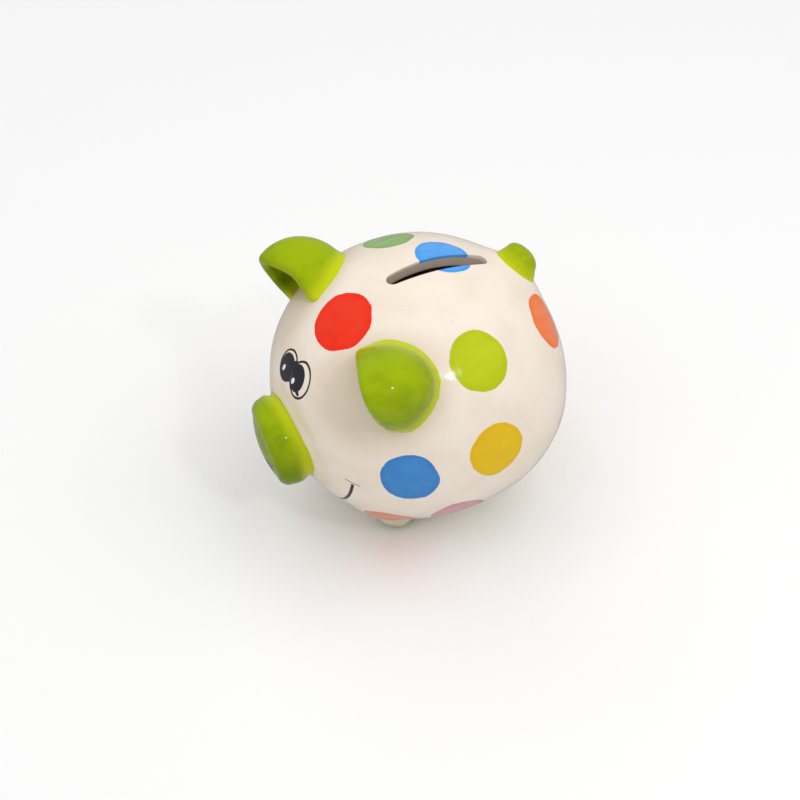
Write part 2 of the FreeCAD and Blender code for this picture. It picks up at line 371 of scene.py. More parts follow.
def stub(origin, axis, rows, squeeze=0.0, slant=(0.0, 0.0)):
    """A round closed stub. A row is (radius, height, pull): pull 0 follows the skin, 1 the axis.

    The far end slants by so many millimetres out for each millimetre across and up.
    """
    first, second = side_axes(axis)
    turns = np.linspace(0, 2 * math.pi, STUB_COLUMNS, endpoint=False)
    spokes = np.cos(turns)[:, None] * first + np.sin(turns)[:, None] * second
    uneven = 1 + squeeze * np.sin(2 * turns + 0.7) + squeeze * 0.5 * np.sin(3 * turns + 2.1)
    rings = []
    for radius, height, pull in rows:
        flat = origin + spokes * (radius * uneven)[:, None]
        base = drop_to_skin(flat, axis) if pull < 1 else flat
        on_skin = (base - flat) @ axis
        lean = (flat[:, 0] * slant[0] + flat[:, 2] * slant[1]) * pull
        rings.append(flat + axis * (on_skin * (1 - pull) + height + lean)[:, None])
    points = np.concatenate(rings)
    faces = grid_faces(len(rings), STUB_COLUMNS)
    middles = []
    for ring, count in ((0, 0), (len(rings) - 1, 1)):
        middles.append(rings[ring].mean(axis=0))
        hub = len(points) + count
        for c in range(STUB_COLUMNS):
            pair = (ring * STUB_COLUMNS + c, ring * STUB_COLUMNS + (c + 1) % STUB_COLUMNS)
            faces.append((pair[0], pair[1], hub) if count else (pair[1], pair[0], hub))
    points = np.concatenate([points, np.array(middles)])
    return points, outward(points, faces)


def root_rows(radius, reach, width, taper):
    """Rows of a stub from inside the shell out to where its flare has eased away."""
    rows = [(radius * share, -SUNK, 0.0) for share in (0.25, 0.6, 0.85)]
    rows.append((radius + width, -SUNK, 0.0))
    for height in np.concatenate([[-0.8, -0.2], np.linspace(0, reach, 10)]):
        above = max(height, 0)
        rows.append((radius + flare(above, reach, width) - taper * above, height, 0.0))
    return rows


def make_snout(glaze):
    """A short round snout with a soft barrel side and a gently domed face."""
    axis = direction(0, -SNOUT_DIP)
    origin = np.array([0.0, 0.0, -SNOUT_DROP])
    rows = root_rows(SNOUT_RADIUS, SNOUT_ROOT, 0.2, 0.0)
    front = SNOUT_FRONT - SNOUT_ROUND
    for share in np.linspace(0, 1, 8)[1:]:
        bulge = SNOUT_BARREL * (share + 1.4 * math.sin(share * math.pi))
        rows.append((SNOUT_RADIUS + bulge, front * share + SNOUT_ROOT * (1 - share), share))
    wide = SNOUT_RADIUS + SNOUT_BARREL
    for angle in np.linspace(0, math.pi / 2, 11)[1:]:
        rows.append((wide - SNOUT_ROUND * (1 - math.cos(angle)),
                     front + SNOUT_ROUND * math.sin(angle), 1.0))
    rim = wide - SNOUT_ROUND
    for share in np.linspace(1, 0.06, 9)[1:]:
        rows.append((rim * share, SNOUT_FRONT + SNOUT_DOME * (1 - share ** 2), 1.0))
    points, faces = stub(origin, axis, rows, 0.006, SNOUT_SLANT)
    piece = make_piece("painted_snout", points, faces, glaze, "snout")


def make_tail(glaze):
    """A short blunt tail that leans a little up."""
    axis = direction(180, TAIL_RISE)
    origin = np.zeros(3)
    rows = root_rows(TAIL_RADIUS, 1.3, 0.6, 0.2)
    height = float(skin(axis)) + TAIL_REACH
    low_radius, low_height = rows[-1][0], rows[-1][1]
    start = height - TAIL_ROUND
    for share in (0.25, 0.5, 0.75):
        rows.append((low_radius * (1 - share) + TAIL_TIP * share,
                     start * share + low_height * (1 - share), share))
    for angle in np.linspace(0, math.pi / 2, 9)[1:-1]:
        rows.append((TAIL_TIP * math.cos(angle) ** 0.9, start + TAIL_ROUND * math.sin(angle), 1.0))
    points, faces = stub(origin, axis, rows, 0.03)
    upward = unit(np.cross(np.cross(axis, [0.0, 0.0, 1.0]), axis))
    lean = TAIL_LEAN * np.clip(height_over_skin(points) / TAIL_REACH, 0, 1)
    points = points + upward * lean[:, None]
    piece = make_piece("painted_tail", points, faces, glaze, "tail")


def make_feet(glaze):
    """Four round feet that the belly flows down into."""
    for row in ("front", "rear"):
        for side in ("left", "right"):
            node = f"foot_{row}_{side}"
            low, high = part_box(node)
            middle_x = math.copysign(FOOT_ACROSS, low.x + high.x)
            middle_y = math.copysign(FOOT_ALONG, (low.y + high.y) / 2 * MM - CENTRE[1])
            origin = np.array([middle_x, middle_y, 0.0])
            axis = np.array([0.0, 0.0, -1.0])
            sole = CENTRE[2]
            rows = root_rows(FOOT_ROOT_RADIUS, FOOT_ROOT, 1.8, 0.18)
            start = sole - FOOT_ROUND
            for share in (0.34, 0.67):
                rows.append((FOOT_RADIUS, start * share + FOOT_ROOT * (1 - share), share))
            for angle in np.linspace(0, math.pi / 2, 8):
                rows.append((FOOT_SOLE_RADIUS + FOOT_ROUND * math.cos(angle),
                             start + FOOT_ROUND * math.sin(angle), 1.0))
            rows.append((1.6, sole, 1.0))
            points, faces = stub(origin, axis, rows, 0.012)
            piece = make_piece(f"painted_{node}", points, faces, glaze, node)


# ---- ears --------------------------------------------------------------------------------

EAR_COLUMNS = 84
EAR_ROWS = 46
EAR_HALF = np.array([12.0, 16.6, 16.9])   # across, along and out, from the ear's own middle
EAR_MIDDLE = np.array([0.0, 8.0, -1.0])
EAR_FAN = np.array([0.0, 9.4, -6.0])      # the rows of points fan out from here
EAR_WALL = 4.0
EAR_PEAK = 0.38                           # how much the arch narrows towards its top
EAR_BULGE = 1.9                           # roundness of the rim
EAR_RIM_STEPS = 9
EAR_FLARE_REACH = 2.6
EAR_FLARE = 1.0
EAR_ENDS = (0.07, -0.10)                  # how far ahead the rim's inner and outer ends reach
EAR_CLOSE = 0.2                           # how much the hood narrows towards its opening
# each ear's own twist, its shifts across and ahead, and how far back its rim curves inside
EAR_SET = {"left": (0.0, -0.9, -1.0, 0.0), "right": (-3.0, 0.8, 0.0, 0.11)}


def ear_reach(rays, half):
    """How far each ray runs from the fan's middle to an egg that narrows towards its top."""
    near = np.zeros(rays.shape[:-1])
    far = np.full(rays.shape[:-1], 60.0)
    for _ in range(40):
        middle = (near + far) / 2
        spot = (EAR_FAN + rays * middle[..., None] - EAR_MIDDLE) / half
        narrow = 1 + EAR_PEAK * 0.35 - EAR_PEAK * np.clip(spot[..., 2], -0.4, 1)
        inside = (spot[..., 0] / narrow) ** 2 + spot[..., 1] ** 2 + spot[..., 2] ** 2 < 1
        near = np.where(inside, middle, near)
        far = np.where(inside, far, middle)
    return near


def ear_points(curve):
    """The hood's points in the ear's own frame, and its faces; curve draws the inner rim back."""
    arch = np.radians(np.linspace(4, 176, EAR_COLUMNS))
    fan = np.radians(np.linspace(-6, 90, EAR_ROWS))
    arch, fan = np.meshgrid(arch, fan)
    ends = np.where(arch < math.pi / 2, *EAR_ENDS) * np.cos(arch) ** 6
    sweep = np.where(arch < math.pi / 2, curve, 0.0) * np.sin(2 * arch) ** 2
    fan = fan * (1 - sweep + ends)
    rays = np.stack(
        [np.cos(arch), -np.sin(arch) * np.cos(fan), np.sin(arch) * np.sin(fan)], axis=-1)
    outer = EAR_FAN + rays * ear_reach(rays, EAR_HALF)[..., None]
    inner = EAR_FAN + rays * ear_reach(rays, EAR_HALF - EAR_WALL)[..., None]
    rows = [*outer]
    middle, half = (outer[-1] + inner[-1]) / 2, (outer[-1] - inner[-1]) / 2
    for angle in np.linspace(0, math.pi, EAR_RIM_STEPS + 2)[1:-1]:
        lift = np.array([0.0, EAR_BULGE * math.sin(angle), 0.0])
        rows.append(middle + half * math.cos(angle) + lift)
    rows += [*inner[::-1]]
    points = np.concatenate(rows)
    outer_side = smooth_step(-points[:, 0], 0.0, 8.0)
    points[:, 0] *= 1 - EAR_CLOSE * outer_side * smooth_step(points[:, 1], 3.0, 13.0)
    faces = grid_faces(len(rows), EAR_COLUMNS, wrap_columns=False)
    count = len(rows)
    for r in range(count // 2):
        other = count - 1 - r
        if other - r == 1:
            break
        for column in (0, EAR_COLUMNS - 1):
            quad = (r * EAR_COLUMNS + column, (r + 1) * EAR_COLUMNS + column,
                    (other - 1) * EAR_COLUMNS + column, other * EAR_COLUMNS + column)
            if len(set(quad)) < 4:
                quad = (quad[0], quad[1], quad[3])
            faces.append(quad if column else quad[::-1])
    last = count - 1
    for c in range(EAR_COLUMNS - 1):
        faces.append((c + 1, c, last * EAR_COLUMNS + c, last * EAR_COLUMNS + c + 1))
    return points, faces


def ear_frame(side):
    """An ear's base point, and its axes across towards the pig's middle, ahead and out."""
    twist, shift, lead, _ = EAR_SET[side]
    angle = math.radians(twist)
    out = direction(EAR_TURN, EAR_RISE)
    level = unit(np.cross([0.0, -1.0, 0.0], out))
    front = np.cross(out, level)
    across = level * math.cos(angle) - front * math.sin(angle)
    ahead = front * math.cos(angle) + level * math.sin(angle)
    base = out * RADIUS * 0.975 + level * shift + front * lead
    flip = np.array([1.0 if side == "left" else -1.0, 1.0, 1.0])
    return base * flip, across * flip, ahead * flip, out * flip


def make_ear(side, glaze):
    """A hood-shaped ear, open to the front, with a thick soft rim."""
    local, faces = ear_points(EAR_SET[side][3])
    base, across, ahead, out = ear_frame(side)
    points = base + local @ np.array([across, ahead, out])
    faces = outward(points, faces)
    normals = vertex_normals(points, faces)
    upright = unit(points)
    tangent = normals - upright * np.einsum("ij,ij->i", normals, upright)[:, None]
    spread = flare(np.maximum(height_over_skin(points), 0), EAR_FLARE_REACH, EAR_FLARE)
    spread = spread * (1 - smooth_step(local[:, 1], 1.0, 8.0))
    points = points + tangent * spread[:, None]
    piece = make_piece(f"painted_ear_{side}", points, faces, glaze, f"ear_{side}")


# ---- painted glaze -----------------------------------------------------------------------

def srgb(red, green, blue):
    """A display colour, 0 to 255, as the linear colour that shaders take."""
    shares = [value / 255 for value in (red, green, blue)]
    linear = [s / 12.92 if s <= 0.04045 else ((s + 0.055) / 1.055) ** 2.4 for s in shares]
    return (*linear, 1.0)


CREAM = srgb(250, 237, 222)
CREAM_THIN = srgb(240, 224, 204)
LIME = srgb(158, 181, 0)
# dark lime, used both for random tone and for painted shade on the lower side
LIME_DARK_AND_SHADE = srgb(114, 138, 0)
LIME_THIN = srgb(204, 212, 20)
LIME_TINT = srgb(214, 208, 150)
LIME_WASH = srgb(172, 190, 96)
BISQUE = srgb(222, 205, 186)
BISQUE_GRAIN = srgb(194, 178, 160)
SOLE = srgb(214, 198, 176)
SOLE_GRAIN = srgb(196, 178, 156)
SPECK = srgb(124, 108, 92)
GREEN_GLOSS = 0.2                         # the green is thick and dark, and mirrors little
# warm brown painted shade that falls round the ears' bases
PAINTED_EAR_SHADE = srgb(206, 186, 152)
INK = srgb(34, 34, 42)
SEAM = srgb(120, 118, 120)
WHITE = srgb(250, 250, 250)

# a dot's colour where the paint lies thick, and where it is thin
RED = (srgb(250, 34, 0), srgb(240, 64, 34))
GRASS = (srgb(184, 198, 0), srgb(200, 212, 20))
BLUE = (srgb(52, 130, 204), srgb(76, 148, 214))
SKY = (srgb(60, 152, 240), srgb(104, 184, 248))
YELLOW = (srgb(232, 186, 0), srgb(240, 202, 20))
ORANGE = (srgb(250, 112, 40), srgb(252, 140, 76))
LEAF = (srgb(122, 170, 74), srgb(164, 196, 132))
PINK = (srgb(208, 142, 150), srgb(222, 176, 178))
SALMON = (srgb(238, 116, 66), srgb(238, 140, 100))
MAGENTA = (srgb(204, 82, 140), srgb(220, 130, 170))

# each dot: colours, turn and rise of its middle, half width and half height, tilt
DOTS = [
    (RED, 5, 52.6, 10.0, 9.8, 0),
    (GRASS, 94.7, 43.7, 9.2, 9.4, 20),
    (BLUE, 59.3, 1.6, 8.9, 9.5, 0),
    (YELLOW, 92.6, 8.1, 9.1, 9.4, 30),
    (ORANGE, 151, 31, 9.2, 9.2, 0),
    (SKY, -162, 75.4, 9.2, 8.4, 0),
    (LEAF, -94, 58.5, 8.0, 8.6, 10),
    (PINK, 80, -27, 8.6, 9.0, 0),
    (SALMON, 50, -39, 9.5, 9.6, 0),
    (MAGENTA, 141, -12, 9.4, 9.2, 0),
    (LEAF, 111, -33, 9.0, 8.8, 0),
    (PINK, -61, 3, 9.0, 9.2, 10),
    (SKY, -95, 14, 9.3, 9.0, 0),
    (YELLOW, -80, -22, 9.2, 9.0, 0),
    (RED, -131, 36, 9.6, 9.3, 15),
    (GRASS, -127, 3, 9.1, 9.4, 0),
    (ORANGE, -156, -15, 9.3, 9.0, 0),
    (BLUE, 178, 8, 9.0, 9.2, 0),
    (YELLOW, 171, -24, 8.8, 9.0, 0),
    (BLUE, -46, -38, 9.2, 9.2, 0),
    (MAGENTA, -116, -35, 9.0, 9.2, 0),
]


class Glaze:
    """A material's node tree, with short calls for the few kinds of node used here."""

    def __init__(self, name):
        self.material = bpy.data.materials.new(name)
        self.material.use_nodes = True
        self.tree = self.material.node_tree
        self.tree.nodes.clear()
        place = self.node("ShaderNodeTexCoord").outputs["Object"]
        self.spot = self.mapped(place, "POINT", -CENTRE, (0, 0, 0), (MM, MM, MM))
        scaled = self.mapped(
            self.spot, "POINT", (0, 0, 0), (0, 0, 0), (1 / RADIUS, 1 / RADIUS, 1 / HALF_HEIGHT))
        away = self.math("SUBTRACT", self.length(scaled), 1.0)
        self.height = self.math("MULTIPLY", away, RADIUS)

    def node(self, kind, **settings):
        made = self.tree.nodes.new(kind)
        for key, value in settings.items():
            setattr(made, key, value)
        return made

    def plug(self, socket, value):
        """Link a socket's source, or set its constant."""
        if isinstance(value, bpy.types.NodeSocket):
            self.tree.links.new(value, socket)
        else:
            socket.default_value = value

    def mapped(self, vector, kind, location, rotation, scale):
        made = self.node("ShaderNodeMapping", vector_type=kind)
        self.plug(made.inputs["Vector"], vector)
        made.inputs["Location"].default_value = tuple(float(v) for v in location)
        made.inputs["Rotation"].default_value = rotation
        made.inputs["Scale"].default_value = scale
        return made.outputs["Vector"]

    def math(self, operation, first, second=0.0, clamp=False):
        made = self.node("ShaderNodeMath", operation=operation, use_clamp=clamp)
        self.plug(made.inputs[0], first)
        self.plug(made.inputs[1], second)
        return made.outputs[0]

    def length(self, vector):
        made = self.node("ShaderNodeVectorMath", operation="LENGTH")
        self.plug(made.inputs[0], vector)
        return made.outputs["Value"]

    def add(self, first, second):
        made = self.node("ShaderNodeVectorMath", operation="ADD")
        self.plug(made.inputs[0], first)
        self.plug(made.inputs[1], second)
        return made.outputs["Vector"]

    def split(self, vector):
        made = self.node("ShaderNodeSeparateXYZ")
        self.plug(made.inputs[0], vector)
        return made.outputs

    def join(self, x, y, z):
        made = self.node("ShaderNodeCombineXYZ")
        for socket, value in zip(made.inputs, (x, y, z)):
            self.plug(socket, value)
        return made.outputs[0]

    def noise(self, vector, size, detail=2.0, roughness=0.5, kind="Fac"):
        """Cloudy noise whose clouds are about size millimetres across."""
        made = self.node("ShaderNodeTexNoise", noise_dimensions="3D")
        self.plug(made.inputs["Vector"], vector)
        made.inputs["Scale"].default_value = 1 / size
        made.inputs["Detail"].default_value = detail
        made.inputs["Roughness"].default_value = roughness
        return made.outputs[kind]

    def ramp(self, value, low, high, first=0.0, last=1.0):
        """A soft ramp from first to last as the value goes from low to high."""
        made = self.node("ShaderNodeMapRange", interpolation_type="SMOOTHSTEP", clamp=True)
        self.plug(made.inputs["Value"], value)
        made.inputs["From Min"].default_value = low
        made.inputs["From Max"].default_value = high
        made.inputs["To Min"].default_value = first
        made.inputs["To Max"].default_value = last
        return made.outputs["Result"]

    def mix(self, share, first, second):
        """The first colour where the share is nought, the second where it is one."""
        made = self.node("ShaderNodeMix", data_type="RGBA", blend_type="MIX")
        self.plug(made.inputs["Factor"], share)
        self.plug(made.inputs[6], first)
        self.plug(made.inputs[7], second)
        return made.outputs[2]

    def both(self, first, second):
        return self.math("MULTIPLY", first, second)

    def shaken(self, vector, size, amount, detail=2.0):
        """The place, moved about a little, so that edges painted by it look drawn by hand."""
        cloud = self.noise(vector, size, detail, kind="Color")
        shift = self.mapped(cloud, "POINT", (-amount / 2,) * 3, (0, 0, 0), (amount,) * 3)
        return self.add(vector, shift)

    def in_frame(self, vector, middle, frame_axes, scale):
        """The place as seen from a frame on the skin, divided by scale."""
        turn = Matrix([list(axis) for axis in frame_axes]).transposed().to_euler("XYZ")
        return self.mapped(vector, "TEXTURE", middle, tuple(turn), scale)

    def finish(self, colour, bump, bump_height, roughness, gloss=0.5):
        """One glossy shader under a rippled surface."""
        shader = self.node("ShaderNodeBsdfPrincipled")
        relief = self.node("ShaderNodeBump")
        relief.inputs["Strength"].default_value = 1.0
        relief.inputs["Distance"].default_value = bump_height / MM
        self.plug(relief.inputs["Height"], bump)
        self.plug(shader.inputs["Base Color"], colour)
        self.plug(shader.inputs["Normal"], relief.outputs["Normal"])
        self.plug(shader.inputs["Roughness"], roughness)
        shader.inputs["IOR"].default_value = 1.52
        shader.inputs["Specular IOR Level"].default_value = gloss
        output = self.node("ShaderNodeOutputMaterial")
        self.plug(output.inputs["Surface"], shader.outputs["BSDF"])
        return self


def skin_frame(turn, rise, tilt=0.0):
    """A place on the skin with axes across, up and out of it, the first two turned by tilt."""
    d = direction(turn, rise)
    middle = d * float(skin(d))
    out = unit(middle / np.array([RADIUS, RADIUS, HALF_HEIGHT]) ** 2)
    across = unit(np.cross([0.0, 0.0, 1.0], out))
    up = np.cross(out, across)
    angle = math.radians(tilt)
    turned = across * math.cos(angle) + up * math.sin(angle)
    return middle, (turned, np.cross(out, turned), out)


def oval(g, x, y, middle, half, tilt):
    """Distance from an oval's middle as a share of its size, so that its edge is at one."""
    angle = math.radians(tilt)
    dx, dy = g.math("SUBTRACT", x, middle[0]), g.math("SUBTRACT", y, middle[1])
    along = g.math("ADD", g.math("MULTIPLY", dx, math.cos(angle) / half[0]),
                   g.math("MULTIPLY", dy, math.sin(angle) / half[0]))
    up = g.math("SUBTRACT", g.math("MULTIPLY", dy, math.cos(angle) / half[1]),
                g.math("MULTIPLY", dx, math.sin(angle) / half[1]))
    return g.length(g.join(along, up, 0.0))


SNOUT_FRINGE = 14.5                       # how far from the snout's and the tail's axes
TAIL_FRINGE = 7.1
EAR_FRINGE = (13.6, 18.0)                 # half sizes of the oval across and along an ear
FRINGE_EDGE = 0.3


def round_axis(g, place, origin, axis):
    """How far the place is aside of a round part's axis, and how far along it."""
    first, second = side_axes(axis)
    x, y, along = g.split(g.in_frame(place, origin, (first, second, axis), (1, 1, 1)))
    return g.length(g.join(x, y, 0.0)), along


def green_fringe(g, place):
    """Where the body has green paint round the snout, ears and tail, a tint, and painted brown
    shade round the ears.
    """
    aside, along = round_axis(g, place, (0, 0, -SNOUT_DROP), direction(0, -SNOUT_DIP))
    ahead = g.ramp(along, 10, 20)
    total = g.both(g.ramp(aside, SNOUT_FRINGE, SNOUT_FRINGE + FRINGE_EDGE, 1, 0), ahead)
    tint = g.both(g.both(g.ramp(aside, 16.5, 18.5), g.ramp(aside, 19.0, 22.0, 1, 0)), ahead)
    aside, along = round_axis(g, place, (0, 0, 0), direction(180, TAIL_RISE))
    mark = g.both(
        g.ramp(aside, TAIL_FRINGE, TAIL_FRINGE + FRINGE_EDGE, 1, 0), g.ramp(along, 10, 20))
    total = g.math("MAXIMUM", total, mark)
    painted_ear_shade = 0.0
    for side in ("left", "right"):
        base, _, ahead, out = ear_frame(side)
        middle = base + ahead * EAR_MIDDLE[1]
        axes = (np.cross(ahead, out), ahead, out)
        x, y, height = g.split(g.in_frame(place, middle, axes, (1, 1, 1)))
        this_side = g.ramp(height, -25, -15)
        off = oval(g, x, y, (0, 0), EAR_FRINGE, 0)
        behind = g.ramp(y, -6.0, -2.0, 1, 0)
        mark = g.both(g.both(g.ramp(off, 0.98, 1.0, 1, 0), behind), this_side)
        bare = oval(g, x, y, (0, -3.4), (4.4, 2.6), 0)
        total = g.math("MAXIMUM", total, g.both(mark, g.ramp(bare, 0.8, 1.15)))
        # painted shade: a warm brown darkening under and round each ear's base, fading away from it
        painted_ear_shade = g.math("MAXIMUM", painted_ear_shade, g.both(g.ramp(off, 0.85, 1.5, 0.42, 0), this_side))
    return total, tint, painted_ear_shade


DOT_DEPTH = 9.0                           # half the depth of the ball of paint that makes a dot


def paint_dots(g, colour, place, streaks):
    """Lay every dot over the colour, thicker and deeper at its edge and along the brush."""
    for (deep, thin), turn, rise, half_width, half_height, tilt in DOTS:
        middle, axes = skin_frame(turn, rise, tilt)
        away = g.length(g.in_frame(place, middle, axes, (half_width, half_height, DOT_DEPTH)))
        pool = g.ramp(away, 0.72, 0.97, 0.0, 0.4)
        paint = g.mix(g.math("ADD", streaks, pool, clamp=True), thin, deep)
        colour = g.mix(g.ramp(away, 0.975, 1.005, 1, 0), colour, paint)
    return colour


EYE_RISE = 24.6
EYES = {   # middle (across, up), half sizes, tilt; then the same for the pupil and the glint
    "left": ((3.85, -0.15), (4.45, 5.6), 12, (2.5, -0.5), (3.5, 4.4), 10, (1.42, -2.3)),
    "right": ((-4.0, -0.45), (4.45, 4.95), -10, (-4.1, -1.05), (4.15, 4.35), -6, (-5.35, -2.25)),
}


def paint_eyes(g, colour, place):
    """Two round cartoon eyes that touch above the snout, looking to one side."""
    middle, axes = skin_frame(0, EYE_RISE)
    x, y, depth = g.split(g.in_frame(place, middle, axes, (1, 1, 1)))
    near = g.ramp(depth, -8, -6)
    for side in ("right", "left"):
        eye, half, tilt, pupil, pupil_half, pupil_tilt, glint = EYES[side]
        edge = oval(g, x, y, eye, half, tilt)
        colour = g.mix(g.both(near, g.ramp(edge, 1.07, 1.10, 1, 0)), colour, INK)
        colour = g.mix(g.both(near, g.ramp(edge, 0.93, 0.96, 1, 0)), colour, CREAM)
        dark = g.ramp(oval(g, x, y, pupil, pupil_half, pupil_tilt), 0.98, 1.03, 1, 0)
        inside = g.ramp(edge, 0.99, 1.02, 1, 0)
        colour = g.mix(g.both(near, g.both(dark, inside)), colour, INK)
    bridge = g.ramp(oval(g, x, y, (-0.5, -0.2), (2.0, 3.8), 0), 0.95, 1.03, 1, 0)
    colour = g.mix(g.both(near, bridge), colour, INK)
    spur = g.ramp(oval(g, x, y, (4.9, -3.9), (1.5, 0.75), -25), 0.9, 1.05, 1, 0)
    colour = g.mix(g.both(near, spur), colour, INK)
    seam = g.both(g.ramp(oval(g, x, y, (-0.15, -2.2), (0.22, 2.6), 4), 0.4, 1.1, 0.55, 0), near)
    colour = g.mix(seam, colour, SEAM)
    for side in ("right", "left"):
        spot = g.ramp(oval(g, x, y, EYES[side][-1], (0.78, 1.1), -8), 0.85, 1.1, 1, 0)
        colour = g.mix(g.both(near, spot), colour, WHITE)
    return colour


SMILE_RADIUS = 28.5
SMILE_END = -6.1
TICK_ACROSS = 27.9
TICK_RISE = 0.55
TICK_SLOPE = 0.22


def paint_mouth(g, colour, place):
    """A wide thin smile under the snout with a short tick across each end."""
    x, y, z = g.split(place)
    front = g.ramp(y, -18, -14, 1, 0)
    wide = g.math("ABSOLUTE", x)
    off = g.math("ABSOLUTE", g.math("SUBTRACT", g.length(g.join(x, z, 0.0)), SMILE_RADIUS))
    line = g.both(g.ramp(off, 0.32, 0.5, 1, 0), g.ramp(z, SMILE_END - 0.3, SMILE_END, 1, 0))
    colour = g.mix(g.both(line, front), colour, INK)
    past = g.math("SUBTRACT", wide, TICK_ACROSS)
    slope = g.math("ADD", z, g.math("MULTIPLY", past, TICK_SLOPE))
    over = g.math("ABSOLUTE", g.math("SUBTRACT", slope, SMILE_END + TICK_RISE))
    tick = g.both(
        g.ramp(over, 0.12, 0.26, 0.85, 0), g.ramp(g.math("ABSOLUTE", past), 1.9, 2.2, 1, 0))
    return g.mix(g.both(tick, front), colour, INK)


def specks(g, colour, place):
    """Sparse iron specks and a little dust in the glaze."""
    for size, keep, radius, strength in ((3.6, 0.80, 0.085, 0.5), (1.7, 0.88, 0.16, 0.28)):
        cells = g.node("ShaderNodeTexVoronoi", feature="F1")
        g.plug(cells.inputs["Vector"], g.shaken(place, size * 0.6, size * 0.5))
        cells.inputs["Scale"].default_value = 1 / size
        chosen = g.ramp(g.split(cells.outputs["Color"])[0], keep, keep + 0.02)
        speck = g.both(g.ramp(cells.outputs["Distance"], radius * 0.4, radius, strength, 0), chosen)
        patch = g.ramp(g.noise(place, 16.0), 0.42, 0.6)
        colour = g.mix(g.both(speck, patch), colour, SPECK)
    return colour


def body_glaze():
    """Clear gloss over cream clay, with hand-painted dots, eyes and mouth, and bare clay inside."""
    g = Glaze("cream_glaze")
    clouds = g.noise(g.spot, 13.0, 3.0)
    colour = g.mix(g.ramp(clouds, 0.35, 0.7, 0.0, 0.55), CREAM, CREAM_THIN)
    colour = specks(g, colour, g.spot)
    hand = g.shaken(g.shaken(g.spot, 7.0, 1.5, 1.0), 1.6, 0.35, 1.0)
    stretched = g.mapped(g.spot, "POINT", (0, 0, 0), (0.5, 0.3, 0.9), (1.0, 0.3, 1.0))
    streaks = g.ramp(g.noise(stretched, 3.4, 3.0, 0.5), 0.25, 0.8, 0.25, 0.8)
    fringe, tint, painted_ear_shade = green_fringe(g, hand)
    # painted brown shade round the ears' bases
    colour = g.mix(painted_ear_shade, colour, PAINTED_EAR_SHADE)
    colour = g.mix(g.both(tint, g.ramp(clouds, 0.4, 0.6, 0.1, 0.3)), colour, LIME_TINT)
    colour = paint_dots(g, colour, hand, streaks)
    colour = g.mix(fringe, colour, LIME_THIN)
    fine = g.shaken(g.spot, 2.2, 0.22, 1.0)
    colour = paint_eyes(g, colour, fine)
    colour = paint_mouth(g, colour, fine)
    depth = g.math("ADD", g.height, g.math("MULTIPLY", g.noise(g.spot, 2.0), 0.5))
    bare = g.ramp(depth, -1.1, -0.75, 1, 0)
    grain = g.noise(g.spot, 0.7, 3.0, 0.6)
    clay = g.mix(grain, BISQUE_GRAIN, BISQUE)
    colour = g.mix(bare, colour, clay)
    ripple = g.math(
        "ADD", g.noise(g.spot, 7.0, 1.0), g.math("MULTIPLY", g.noise(g.spot, 1.3, 2.0), 0.09))
    rough = g.math("MAXIMUM", g.ramp(g.noise(g.spot, 5.0, 3.0), 0.3, 0.75, 0.10, 0.2),
                   g.math("MULTIPLY", bare, 0.85))
    return g.finish(colour, ripple, 0.22, rough, 0.4)


def green_glaze(name, seed, level, thin=5.0):
    """Brushed lime glaze with painted shade that darkens it below its level, thin and yellow where
    it meets the body.
    """
    g = Glaze(name)
    place = g.mapped(g.spot, "POINT", (seed, seed * 1.7, -seed), (0, 0, 0), (1, 1, 1))
    brushed = g.mapped(place, "POINT", (0, 0, 0), (0.4, 0.9, 0.2), (1.0, 0.28, 1.0))
    streaks = g.noise(brushed, 2.4, 4.0, 0.6)
    clouds = g.noise(place, 9.0, 2.0)
    shade = g.math("ADD", g.math("MULTIPLY", streaks, 0.4), g.math("MULTIPLY", clouds, 0.6))
    # painted shade: the green gets darker the further it lies below its level, and lighter above it
    painted_low_shade = g.math("MULTIPLY", g.math("SUBTRACT", level, g.split(g.spot)[2]), 0.018)
    colour = g.mix(g.ramp(g.math("ADD", shade, painted_low_shade), 0.25, 0.8), LIME, LIME_DARK_AND_SHADE)
    edge = g.math("ADD", g.height, g.math("MULTIPLY", g.math("SUBTRACT", clouds, 0.5), -3.0))
    colour = g.mix(g.ramp(edge, 0.5, thin, 0.85, 0), colour, LIME_THIN)
    return g, colour, place


def finish_green(g, colour, place):
    """A smooth wet-looking gloss over the green."""
    ripple = g.math(
        "ADD", g.noise(place, 5.0, 1.0), g.math("MULTIPLY", g.noise(place, 1.2, 2.0), 0.1))
    rough = g.ramp(g.noise(place, 4.0, 3.0), 0.3, 0.75, 0.05, 0.12)
    return g.finish(colour, ripple, 0.16, rough, GREEN_GLOSS)


NOSTRIL_ACROSS = 5.9
NOSTRIL_UP = -2.6
NOSTRIL_HALF = (2.1, 3.0)


def snout_glaze():
    """Lime glaze with two black brush dabs for nostrils."""
    g, colour, place = green_glaze("snout_glaze", 3.0, 1.0)
    axis = direction(0, -SNOUT_DIP)
    up = unit(np.array([0.0, 0.0, 1.0]) - axis * axis[2])
    across = np.cross(up, axis)
    hand = g.shaken(g.spot, 2.0, 0.4, 1.0)
    x, y, z = g.split(g.in_frame(hand, (0, 0, -SNOUT_DROP), (across, up, axis), (1, 1, 1)))
    slope = g.math(
        "ADD", g.math("MULTIPLY", x, SNOUT_SLANT[0]), g.math("MULTIPLY", y, SNOUT_SLANT[1]))
    face = g.ramp(g.math("SUBTRACT", z, slope), SNOUT_FRONT - 1.6, SNOUT_FRONT - 0.8)
    for side in (1, -1):
        dab = oval(g, x, y, (side * NOSTRIL_ACROSS, NOSTRIL_UP), NOSTRIL_HALF, side * -10)
        colour = g.mix(g.both(face, g.ramp(dab, 0.95, 1.06, 1, 0)), colour, INK)
    return finish_green(g, colour, place)


